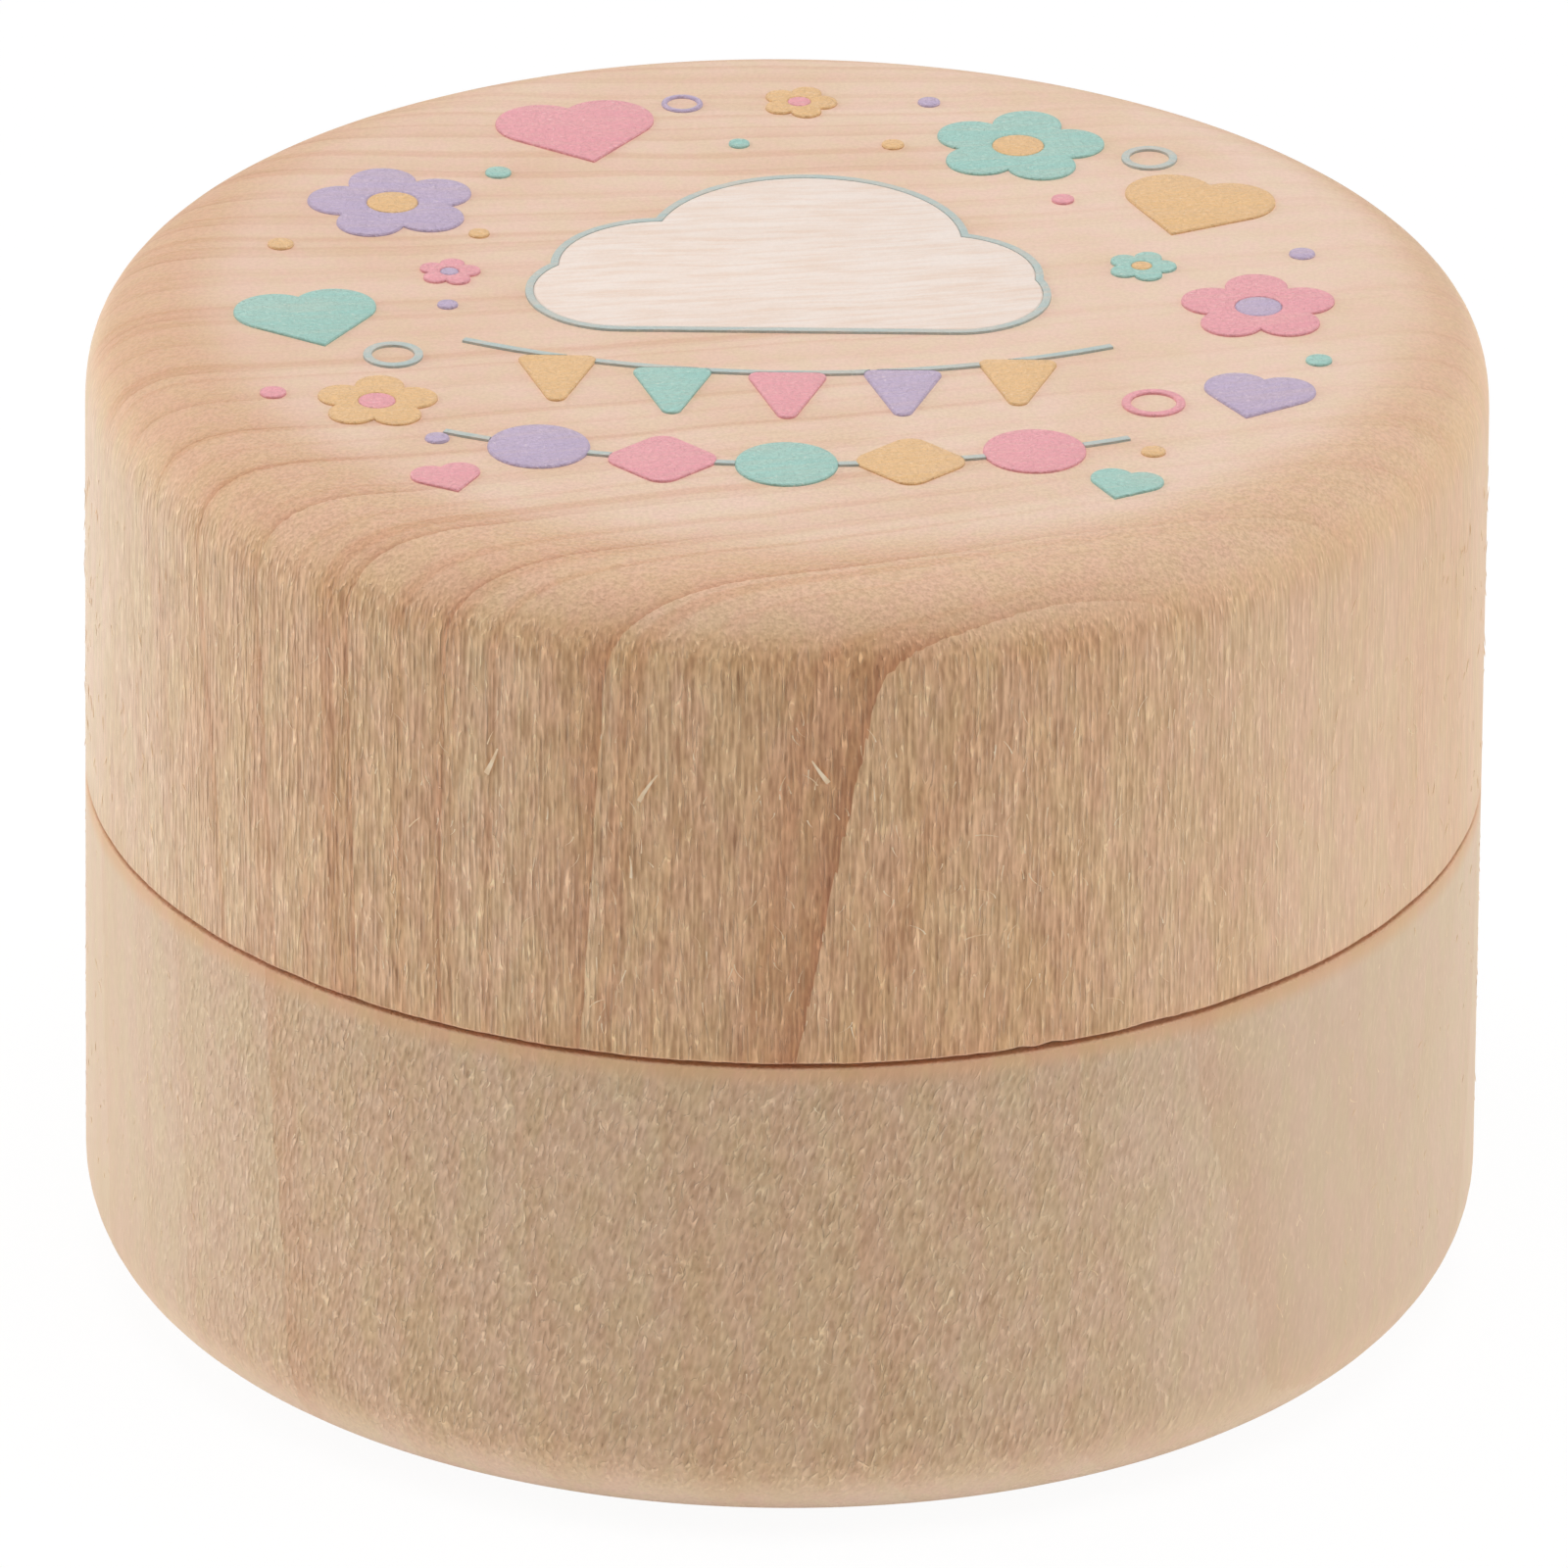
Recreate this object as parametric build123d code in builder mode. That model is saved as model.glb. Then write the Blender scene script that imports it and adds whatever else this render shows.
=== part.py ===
from build123d import *
from math import cos, radians, sin, sqrt
import os

# A round turned wooden keepsake box with a push-on lid, in millimetres.
# The origin is on the table, at the middle of the base; +Z is up, and the front is towards -Y.

# Outside of the box
outer_diameter = 50.0
base_height = 18.7
seam_gap = 0.15
lid_height = 17.65
foot_radius = 4.0
crown_inset = 4.6
crown_drop = 3.7
crown_fullness_share = 0.79
shoulder_radius = 0.25
lid_lip_radius = 0.2

# Inside of the box, and the spigot that the lid's skirt goes over
skirt_thickness = 3.25
fit_clearance = 0.15
spigot_wall = 2.3
spigot_height = 3.5
spigot_lead_in = 0.4
spigot_rim_radius = 0.4
socket_lead_in = 0.3
floor_thickness = 4.0
crown_thickness = 5.0
floor_corner_radius = 2.5
crown_corner_radius = 2.0
overrun = 1.0

# Printed ink on the lid
ink_thickness = 0.1
fine_line_width = 0.28
print_margin = 0.2

# Sizes worked out from the ones above
outer_radius = outer_diameter / 2
socket_radius = outer_radius - skirt_thickness
spigot_radius = socket_radius - fit_clearance
cavity_radius = spigot_radius - spigot_wall
spigot_top = base_height + spigot_height
lid_bottom = base_height + seam_gap
lid_top = lid_bottom + lid_height
crown_underside = lid_top - crown_thickness
flat_radius = outer_radius - crown_inset
print_radius = flat_radius - print_margin

# The print is one picture that is fitted to the flat of the lid,
# so each of its sizes and places is a share of the print's radius.
cloud_width_share = 0.90
cloud_band_height_share = 0.31
cloud_centre_y_share = 0.085
puff_radius_shares = (0.192, 0.272, 0.172)
puff_x_shares = (-0.215, 0.035, 0.265)
puff_y_shares = (0.110, 0.225, 0.080)
pennant_row_y_share = -0.195
pennant_width_share = 0.150
pennant_height_share = 0.230
pennant_corner_share = 0.018
pennant_gap_share = 0.052
bead_row_y_share = -0.580
round_bead_share = 0.180
square_bead_share = 0.155
square_bead_corner_share = 0.036
bead_gap_share = 0.036
string_sag_share = 0.065
string_end_share = 0.165
large_motif_share = 0.31

# A blossom's petals and its eye are shares of its own width, as a ring's hole is
petal_count = 5
petal_share = 0.4
eye_share = 0.3
ring_hole_share = 0.72

# Motifs round the cloud, for each colour: kind, azimuth in degrees from +X towards +Y,
# distance from the middle as a share of the print's radius, size as a share of
# the large motifs' size, and tilt in degrees
motif_shares = {
    "teal": [
        ("blossom", 61, 0.84, 1.00, 8),
        ("heart", 184, 0.84, 0.82, 14),
        ("blossom", 19, 0.66, 0.40, 0),
        ("dot", 131, 0.79, 0.15, 0),
        ("dot", 349, 0.95, 0.15, 0),
        ("heart", 309, 0.93, 0.42, -16),
        ("dot", 97, 0.74, 0.12, 0),
    ],
    "pink": [
        ("heart", 116, 0.85, 0.92, 12),
        ("blossom", 3, 0.83, 0.90, 20),
        ("ring", 330, 0.74, 0.36, 0),
        ("dot", 46, 0.70, 0.13, 0),
        ("dot", 202, 0.97, 0.15, 0),
        ("blossom", 165, 0.62, 0.36, 10),
        ("heart", 231, 0.93, 0.40, 18),
    ],
    "amber": [
        ("heart", 33, 0.85, 0.88, -18),
        ("blossom", 209, 0.82, 0.70, 15),
        ("dot", 163, 0.94, 0.15, 0),
        ("dot", 76, 0.76, 0.13, 0),
        ("blossom", 89, 0.92, 0.44, 0),
        ("dot", 318, 0.86, 0.14, 0),
        ("dot", 149, 0.64, 0.12, 0),
    ],
    "lilac": [
        ("blossom", 147, 0.84, 0.98, 30),
        ("heart", 337, 0.89, 0.64, -12),
        ("dot", 17, 0.95, 0.15, 0),
        ("dot", 75, 0.96, 0.13, 0),
        ("dot", 178, 0.60, 0.12, 0),
        ("dot", 222, 0.82, 0.14, 0),
        ("ring", 102, 0.93, 0.24, 0),
    ],
    "blue_grey": [
        ("ring", 47, 0.94, 0.32, 0),
        ("ring", 196, 0.72, 0.34, 0),
    ],
}
eye_colours = {"teal": "amber", "pink": "lilac", "amber": "pink", "lilac": "amber"}
pennant_colours = ("amber", "teal", "pink", "lilac", "amber")
bead_colours = ("lilac", "pink", "teal", "amber", "pink")
pastel_colours = ("teal", "pink", "amber", "lilac")


def heart(width):
    """A plain heart: a square on its corner with a half disc on each upper side."""
    side = width / (1 + sqrt(2) / 2)
    lobe_offset = side / (2 * sqrt(2))
    with BuildSketch(mode=Mode.PRIVATE) as shape:
        Rectangle(side, side, rotation=45)
        with Locations((-lobe_offset, lobe_offset), (lobe_offset, lobe_offset)):
            Circle(side / 2)
    return shape.sketch


def blossom(width):
    """Round petals about an open eye."""
    petal_radius = width * petal_share / 2
    with BuildSketch(mode=Mode.PRIVATE) as shape:
        with PolarLocations(width / 2 - petal_radius, petal_count):
            Circle(petal_radius)
        Circle(petal_radius)
        Circle(width * eye_share / 2, mode=Mode.SUBTRACT)
    return shape.sketch


def ring(width):
    """A thin open ring."""
    with BuildSketch(mode=Mode.PRIVATE) as shape:
        Circle(width / 2)
        Circle(width / 2 * ring_hole_share, mode=Mode.SUBTRACT)
    return shape.sketch


def dot(width):
    """A small round dot, which a blossom has for its eye too."""
    with BuildSketch(mode=Mode.PRIVATE) as shape:
        Circle(width / 2)
    return shape.sketch


def cloud(growth):
    """A flat-bottomed cloud of three puffs, with its outline moved outwards by growth."""
    width = cloud_width_share * print_radius
    band_height = cloud_band_height_share * print_radius
    with BuildSketch(mode=Mode.PRIVATE) as shape:
        SlotOverall(width + 2 * growth, band_height + 2 * growth)
        for radius_share, x_share, y_share in zip(puff_radius_shares, puff_x_shares, puff_y_shares):
            with Locations((x_share * print_radius, y_share * print_radius)):
                Circle(radius_share * print_radius + growth)
    return shape.sketch


def pennant():
    """A small flag with its point down, hung from the middle of its top edge."""
    half_width = pennant_width_share * print_radius / 2
    height = pennant_height_share * print_radius
    with BuildSketch(mode=Mode.PRIVATE) as shape:
        with BuildLine():
            Polyline((-half_width, 0), (0, -height), (half_width, 0), close=True)
        make_face()
        fillet(shape.vertices(), radius=pennant_corner_share * print_radius)
    return shape.sketch


def bead(index):
    """A bead of the garland: round ones and square ones, strung corner to corner, in turn."""
    if index % 2 == 0:
        return dot(round_bead_share * print_radius)
    side = square_bead_share * print_radius
    with BuildSketch(mode=Mode.PRIVATE) as shape:
        RectangleRounded(side, side, square_bead_corner_share * print_radius, rotation=45)
    return shape.sketch


motif_kinds = {"heart": heart, "blossom": blossom, "ring": ring, "dot": dot}


def motif_location(azimuth, distance_share, tilt):
    """The place of a motif on the flat of the lid."""
    distance = distance_share * print_radius
    return Location((distance * cos(radians(azimuth)), distance * sin(radians(azimuth)), 0), tilt)


def motif_sketch(colour):
    """All motifs of one colour, with the blossom eyes that have that colour."""
    with BuildSketch(mode=Mode.PRIVATE) as shape:
        for petal_colour, rows in motif_shares.items():
            for kind, azimuth, distance_share, size_share, tilt in rows:
                width = size_share * large_motif_share * print_radius
                with Locations(motif_location(azimuth, distance_share, tilt)):
                    if petal_colour == colour:
                        add(motif_kinds[kind](width))
                    if kind == "blossom" and eye_colours[petal_colour] == colour:
                        add(dot(width * eye_share))
    return shape.sketch


def string_points(count, pitch, row_y):
    """Evenly spaced points along a string that sags between the first and the last."""
    half_row = (count - 1) * pitch / 2
    sag = string_sag_share * print_radius
    points = []
    for index in range(count):
        x = index * pitch - half_row
        points.append((x, row_y - sag * (1 - (x / half_row) ** 2)))
    return points


def pennant_points():
    """Where the pennants hang."""
    pitch = (pennant_width_share + pennant_gap_share) * print_radius
    return string_points(len(pennant_colours), pitch, pennant_row_y_share * print_radius)


def bead_points():
    """Where the beads are strung."""
    pitch = (round_bead_share + bead_gap_share) * print_radius
    return string_points(len(bead_colours), pitch, bead_row_y_share * print_radius)


def row_sketch(colours):
    """The pennants and beads that have one of the given colours."""
    with BuildSketch(mode=Mode.PRIVATE) as shape:
        for point, pennant_colour in zip(pennant_points(), pennant_colours):
            if pennant_colour in colours:
                with Locations(point):
                    add(pennant())
        for index, (point, bead_colour) in enumerate(zip(bead_points(), bead_colours)):
            if bead_colour in colours:
                with Locations(point):
                    add(bead(index))
    return shape.sketch


def string_sketch(points):
    """The string through a row's points and a little past its ends, as a thin curved band."""
    half_row = points[-1][0]
    half_string = half_row + string_end_share * print_radius
    middle_y = points[len(points) // 2][1]
    end_y = middle_y + string_sag_share * print_radius * (half_string / half_row) ** 2
    with BuildSketch(mode=Mode.PRIVATE) as shape:
        with BuildLine() as path:
            ThreePointArc((-half_string, end_y), (0, middle_y), (half_string, end_y))
        trace(path.line, line_width=fine_line_width)
    return shape.sketch


def save(piece, name):
    """Labels a finished piece and writes it under its own name."""
    piece.part.label = name
    export_step(piece.part, f"parts/{name}.step")
    print(name, len(piece.part.solids()), "solids,", round(piece.part.volume, 3), "mm3")


os.makedirs("parts", exist_ok=True)

# Base: a turned cup with a rounded foot, an eased shoulder and a spigot for the lid
with BuildPart() as base:
    with BuildSketch(Plane.XY):
        Circle(outer_radius)
    extrude(amount=base_height)
    fillet(base.faces().sort_by(Axis.Z).first.edges(), radius=foot_radius)
    fillet(base.faces().sort_by(Axis.Z).last.edges(), radius=shoulder_radius)
    with BuildSketch(Plane.XY.offset(base_height)):
        Circle(spigot_radius)
    extrude(amount=spigot_height)
    chamfer(base.faces().sort_by(Axis.Z).last.edges(), length=spigot_lead_in)
    with BuildSketch(Plane.XY.offset(floor_thickness)):
        Circle(cavity_radius)
    extrude(amount=spigot_top - floor_thickness + overrun, mode=Mode.SUBTRACT)
    fillet(base.edges(Select.LAST).sort_by(Axis.Z).first, radius=floor_corner_radius)
    rim_edges = base.faces().sort_by(Axis.Z).last.edges()
    fillet(rim_edges.sort_by(SortBy.RADIUS).first, radius=spigot_rim_radius)
save(base, "base")

# Lid: a turned cap that rests on the spigot and leaves a thin seam above the shoulder.
# Its upper edge is sanded to one soft curve, fuller than a quarter circle.
with BuildPart() as lid:
    with BuildSketch(Plane.XZ):
        with BuildLine():
            Polyline((flat_radius, lid_top), (0, lid_top), (0, lid_bottom), (outer_radius, lid_bottom),
                     (outer_radius, lid_top - crown_drop))
            Bezier(
                (outer_radius, lid_top - crown_drop),
                (outer_radius, lid_top - crown_drop * (1 - crown_fullness_share)),
                (outer_radius - crown_inset * (1 - crown_fullness_share), lid_top),
                (flat_radius, lid_top),
            )
        make_face()
    revolve(axis=Axis.Z)
    fillet(lid.faces().sort_by(Axis.Z).first.edges(), radius=lid_lip_radius)
    with BuildSketch(Plane.XY.offset(lid_bottom - overrun)):
        Circle(cavity_radius)
    extrude(amount=crown_underside - lid_bottom + overrun, mode=Mode.SUBTRACT)
    fillet(lid.edges(Select.LAST).sort_by(Axis.Z).last, radius=crown_corner_radius)
    with BuildSketch(Plane.XY.offset(lid_bottom - overrun)):
        Circle(socket_radius)
    extrude(amount=spigot_top - lid_bottom + overrun, mode=Mode.SUBTRACT)
    mouth_edges = lid.faces().sort_by(Axis.Z).first.edges()
    chamfer(mouth_edges.sort_by(SortBy.RADIUS).first, length=socket_lead_in)
save(lid, "lid")

# Cream white ink: the cloud
with BuildPart() as print_white:
    with BuildSketch(Plane.XY.offset(lid_top)):
        with Locations((0, cloud_centre_y_share * print_radius)):
            add(cloud(0))
    extrude(amount=ink_thickness)
save(print_white, "print_white")

# Blue-grey ink: the cloud's outline, the strings between their pennants and beads, two rings
with BuildPart() as print_blue_grey:
    with BuildSketch(Plane.XY.offset(lid_top)):
        with Locations((0, cloud_centre_y_share * print_radius)):
            add(cloud(fine_line_width))
            add(cloud(0), mode=Mode.SUBTRACT)
        add(string_sketch(pennant_points()))
        add(string_sketch(bead_points()))
        add(row_sketch(pastel_colours), mode=Mode.SUBTRACT)
        add(motif_sketch("blue_grey"))
    extrude(amount=ink_thickness)
save(print_blue_grey, "print_blue_grey")

# Pastel inks: the motifs, pennants and beads of each colour
for colour in pastel_colours:
    with BuildPart() as print_pastel:
        with BuildSketch(Plane.XY.offset(lid_top)):
            add(motif_sketch(colour))
            add(row_sketch([colour]))
        extrude(amount=ink_thickness)
    save(print_pastel, f"print_{colour}")
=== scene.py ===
# %% [markdown]
# # A turned wooden baby tooth box
#
# The box is two pieces of pale hardwood turned on a lathe: a base with a raised spigot, and a lid that
# pushes over it. A small pastel print lies on the lid's flat top. The CAD model gives every size, so this
# lesson loads it first and builds the looks around it.

# %% Load the frame
import math
import random

import bmesh
import bpy
from mathutils import Matrix, Vector, noise


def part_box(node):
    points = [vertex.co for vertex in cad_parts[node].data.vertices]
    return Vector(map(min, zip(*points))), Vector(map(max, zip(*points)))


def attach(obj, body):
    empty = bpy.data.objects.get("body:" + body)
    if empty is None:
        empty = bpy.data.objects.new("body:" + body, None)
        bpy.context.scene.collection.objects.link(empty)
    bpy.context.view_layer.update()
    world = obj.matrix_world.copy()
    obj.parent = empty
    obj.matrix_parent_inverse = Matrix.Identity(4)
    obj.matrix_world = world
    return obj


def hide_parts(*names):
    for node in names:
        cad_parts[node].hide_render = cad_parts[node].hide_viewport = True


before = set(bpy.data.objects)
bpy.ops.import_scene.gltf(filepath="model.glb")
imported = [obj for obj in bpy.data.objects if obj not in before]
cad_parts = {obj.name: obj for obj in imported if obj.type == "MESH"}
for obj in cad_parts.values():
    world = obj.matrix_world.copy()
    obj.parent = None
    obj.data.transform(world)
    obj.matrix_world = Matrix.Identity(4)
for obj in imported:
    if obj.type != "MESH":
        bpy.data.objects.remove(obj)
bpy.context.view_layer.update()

print("CAD nodes:", sorted(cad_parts))

# %% [markdown]
# ## Sizes
#
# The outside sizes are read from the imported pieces. The inner ones, which no corner of a box can tell, are
# repeated here from the CAD model. Only the roundings of the two edges at the seam are smaller than there,
# because the seam of the real box is a fine, crisp line. Everything is in metres, so a millimetre has a name.

# %% Sizes of the two turnings
MM = 0.001

base_low, base_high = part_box("base")
lid_low, lid_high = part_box("lid")
outer_radius = lid_high.x
base_floor = base_low.z
spigot_top = base_high.z
lid_bottom = lid_low.z
lid_top = lid_high.z

shoulder_height = 18.7 * MM
foot_rounding = 4.0 * MM
shoulder_rounding = 0.15 * MM
spigot_radius = 21.6 * MM
spigot_lead_in = 0.4 * MM
socket_radius = 21.75 * MM
socket_lead_in = 0.3 * MM
hollow_radius = 19.3 * MM
hollow_floor = 4.0 * MM
hollow_floor_rounding = 2.5 * MM
hollow_ceiling = 31.5 * MM
hollow_ceiling_rounding = 2.0 * MM
rim_rounding = 0.4 * MM
lip_rounding = 0.12 * MM
crown_inset = 4.6 * MM
crown_drop = 3.7 * MM
print(f"box {outer_radius * 2 / MM:.1f} mm across, {lid_top / MM:.1f} mm high without its print")

# %% [markdown]
# ## Turning a shape
#
# A turner cuts an outline and the lathe sweeps it round. The same is done here: the outline is a chain of
# edges, its corners are rounded by bevelling their vertices, and a spin makes the skin. A full spin in 720
# steps is slow, because each step goes over the whole mesh, so a quarter is spun and copied three times. A
# primitive cylinder with bevelled edges would do for the base, but the spigot, the hollow and the lid's
# uneven crown come out in one go this way. The rows may lie a millimetre apart: only the steps round make
# a fine edge, and the wood's relief is far finer than any mesh.

# %% Draw and round an outline
row_spacing = 1.0 * MM
merge_distance = 0.001 * MM


def chain(corners):
    """A bmesh that holds the outline as a chain of edges, in the XZ plane."""
    outline = bmesh.new()
    last = None
    for radius, height in corners:
        vertex = outline.verts.new((radius, 0, height))
        if last is not None:
            outline.edges.new((last, vertex))
        last = vertex
    return outline


def corner_at(outline, radius, height):
    """The outline's vertex nearest to a place."""
    place = Vector((radius, 0, height))
    return min(outline.verts, key=lambda vertex: (vertex.co - place).length)


def round_corner(outline, radius, height, size, steps, fullness=0.5):
    """Rounds one corner of the outline; a fullness of 0.5 is a plain arc, more is squarer."""
    bmesh.ops.bevel(
        outline, geom=[corner_at(outline, radius, height)], affect="VERTICES",
        offset=size, offset_type="OFFSET", segments=steps, profile=fullness, material=-1,
    )


def divide_outline(outline, longest):
    """Cuts the outline's long edges, so that the skin has even rows."""
    for edge in list(outline.edges):
        cuts = int(edge.calc_length() / longest)
        if cuts:
            bmesh.ops.subdivide_edges(outline, edges=[edge], cuts=cuts)


# %% [markdown]
# One helper sweeps the outline, and one makes a finished mesh an object that rides on its body, with its
# materials, and hides the CAD nodes that it stands for.

# %% Sweep it and make it a piece
spin_steps = 720
sharp_angle = math.radians(40)


def turn(shape, steps=spin_steps):
    """Sweeps an outline a quarter round Z, sets three copies beside it, and closes joints and poles."""
    bmesh.ops.spin(
        shape, geom=list(shape.verts) + list(shape.edges), cent=(0, 0, 0), axis=(0, 0, 1),
        angle=math.tau / 4, steps=steps // 4, use_merge=False, use_duplicate=False,
    )
    quarter = list(shape.verts) + list(shape.edges) + list(shape.faces)
    for turns in (1, 2, 3):
        copied = bmesh.ops.duplicate(shape, geom=quarter)["geom"]
        moved = [part for part in copied if isinstance(part, bmesh.types.BMVert)]
        rotation = Matrix.Rotation(math.tau / 4 * turns, 3, "Z")
        bmesh.ops.rotate(shape, cent=(0, 0, 0), matrix=rotation, verts=moved)
    bmesh.ops.remove_doubles(shape, verts=shape.verts, dist=merge_distance)
    loose = [edge for edge in shape.edges if not edge.link_faces]
    bmesh.ops.delete(shape, geom=loose, context="EDGES")
    bmesh.ops.recalc_face_normals(shape, faces=shape.faces)


def mesh_from(shape, name):
    """Writes a bmesh to a new mesh and lets it go."""
    mesh = bpy.data.meshes.new(name)
    shape.to_mesh(mesh)
    shape.free()
    return mesh


def new_object(name, data):
    """An object in the scene."""
    thing = bpy.data.objects.new(name, data)
    bpy.context.scene.collection.objects.link(thing)
    return thing


def finish_piece(shape, name, body, materials, stands_for=()):
    """Makes the bmesh a smooth-shaded object that rides on its body."""
    mesh = mesh_from(shape, name)
    mesh.shade_smooth()
    mesh.set_sharp_from_angle(angle=sharp_angle)
    for material in materials:
        mesh.materials.append(material)
    piece = new_object(name, mesh)
    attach(piece, body)
    if stands_for:
        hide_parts(*stands_for)
    print(name, len(mesh.polygons), "faces")
    return piece


# %% [markdown]
# ## Colour and node helpers
#
# Colours are written as they are read off a screen, 0 to 255, and turned into the linear light that a
# shader counts in. A material is a chain of nodes, so one helper adds a node and joins its inputs, and the
# others name the steps that come again and again.

# %% Nodes and arithmetic
def screen_colour(red, green, blue):
    """The linear colour of one that is read off a screen."""
    channels = (red / 255, green / 255, blue / 255)
    return (*(((c + 0.055) / 1.055) ** 2.4 for c in channels), 1)


def add(tree, kind, inputs=None, output=0, **settings):
    """Adds a node, sets it up, joins or sets its inputs, and gives back one of its outputs."""
    node = tree.nodes.new("ShaderNode" + kind)
    for name, value in settings.items():
        setattr(node, name, value)
    for socket, value in (inputs or {}).items():
        if isinstance(value, bpy.types.NodeSocket):
            tree.links.new(value, node.inputs[socket])
        else:
            node.inputs[socket].default_value = value
    return node.outputs[output] if node.outputs else node


def reckon(tree, operation, first, second=0.0, third=0.0):
    """One step of arithmetic."""
    return add(tree, "Math", {0: first, 1: second, 2: third}, operation=operation)


def times(tree, first, second):
    """Two values multiplied."""
    return reckon(tree, "MULTIPLY", first, second)


def times_plus(tree, first, second, third):
    """Two values multiplied, and a third added."""
    return reckon(tree, "MULTIPLY_ADD", first, second, third)


def less_by(tree, value, share):
    """1 where the value is 0, and less by the share where it is 1."""
    return times_plus(tree, value, -share, 1.0)


def along(tree, place, axis):
    """One coordinate of a place."""
    return add(tree, "SeparateXYZ", {0: place}, output="XYZ".index(axis))


def dot(tree, first, second):
    """How far one direction goes along another."""
    return add(tree, "VectorMath", {0: first, 1: second}, output=1, operation="DOT_PRODUCT")


def ramp(tree, value, low, high, to_low=0.0, to_high=1.0, soft=True):
    """Takes a value from one range to another, with soft ends or with straight ones."""
    interpolation = "SMOOTHSTEP" if soft else "LINEAR"
    inputs = {0: value, 1: low, 2: high, 3: to_low, 4: to_high}
    return add(tree, "MapRange", inputs, interpolation_type=interpolation)


# %% [markdown]
# Most of a noise's values lie between 0.3 and 0.7, so that pair has a name. A pattern that should cover
# more or less of the wood has a pair of its own.

# %% Colours, noises and an empty material
most_of_noise = (0.3, 0.7)


def blend(tree, share, first, second, mode="MIX"):
    """Mixes two colours."""
    return add(tree, "Mix", {0: share, 6: first, 7: second}, output=2, data_type="RGBA", blend_type=mode)


def stained(tree, share, colour, stain):
    """Multiplies a colour by a screen colour, as far as the share says."""
    return blend(tree, share, colour, screen_colour(*stain), "MULTIPLY")


def speckle(tree, place, scale, detail=2.0, roughness=0.5, distortion=0.0, shift=(0, 0, 0)):
    """Noise that is stretched by a different scale on each axis."""
    stretched = add(tree, "Mapping", {0: place, "Location": shift, "Scale": scale})
    return add(tree, "TexNoise", {
        "Vector": stretched, "Scale": 1.0, "Detail": detail, "Roughness": roughness, "Distortion": distortion,
    })


def colour_ramp(tree, value, stops, steps=False):
    """A row of screen colours, or of grey levels, along a value; its two ends come first."""
    node = tree.nodes.new("ShaderNodeValToRGB")
    tree.links.new(value, node.inputs[0])
    node.color_ramp.interpolation = "CONSTANT" if steps else "LINEAR"
    elements = node.color_ramp.elements
    for index, (position, level) in enumerate(stops):
        stop = elements[index] if index < 2 else elements.new(position)
        stop.position = position
        stop.color = screen_colour(*level) if isinstance(level, tuple) else (level, level, level, 1)
    return node.outputs[0]


def bumped(tree, height):
    """The direction of a surface whose relief is given in millimetres."""
    return add(tree, "Bump", {"Height": height, "Strength": 1.0, "Distance": MM})


def fresh_material(name):
    """A material with an empty tree, and its object coordinates in millimetres."""
    material = bpy.data.materials.new(name)
    material.use_nodes = True
    tree = material.node_tree
    tree.nodes.clear()
    coordinates = add(tree, "TexCoord", output=3)
    place = add(tree, "VectorMath", {0: coordinates, 1: (1 / MM, 1 / MM, 1 / MM)}, operation="MULTIPLY")
    return material, tree, place


# %% [markdown]
# ## The wood
#
# Both turnings were cut with the fibres upright, so the top is end grain, with the years as fine lines, and
# the sides show long fibres. Wood is solid, so its figure is solid here too: every colour is worked out from
# the place in the block, and the year lines run over the crown and down the side by themselves.
#
# A year is a thin sheet that is nearly flat across a box of this size. One number tells how deep in the tree
# a place lies: its Y, with small terms that tilt, bow and fan the sheets, and two wavers, a slow one and
# a fine one that makes the lines as ragged as the fibres.

# %% How deep in the tree a place lies
ragged_scale = (4.0, 4.0, 0.6)


def depth_in_tree(tree, place, board):
    """The place's depth in millimetres, from the board's tilt, bow, fan and lean."""
    shifted = add(tree, "VectorMath", {0: place, 1: (0, 0, board["middle_height"])}, operation="SUBTRACT")
    straight = dot(tree, shifted, board["across_years"])
    fan = dot(tree, shifted, board["fan"])
    lean = dot(tree, shifted, board["lean"])
    fanned = times_plus(tree, fan, along(tree, shifted, "X"), straight)
    leaned = times_plus(tree, lean, along(tree, shifted, "Z"), fanned)
    waver = speckle(tree, place, board["waver_scale"], detail=1.0)
    wavered = times_plus(tree, waver, board["waver_depth"], leaned)
    ragged = speckle(tree, place, ragged_scale, detail=1.0)
    return times_plus(tree, ragged, board["ragged_depth"], wavered)


# %% [markdown]
# A row of grey levels turns the depth into a count of years, so that years may be wide or narrow. What is
# left after the whole years tells where in its year a place lies. Late wood darkens slowly towards the
# year's end and stops sharply there, so a low power of it gives the soft brown zone, and a high power
# the thin line. A second row holds how strong each year shows.

# %% Year lines
margin = 3


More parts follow.
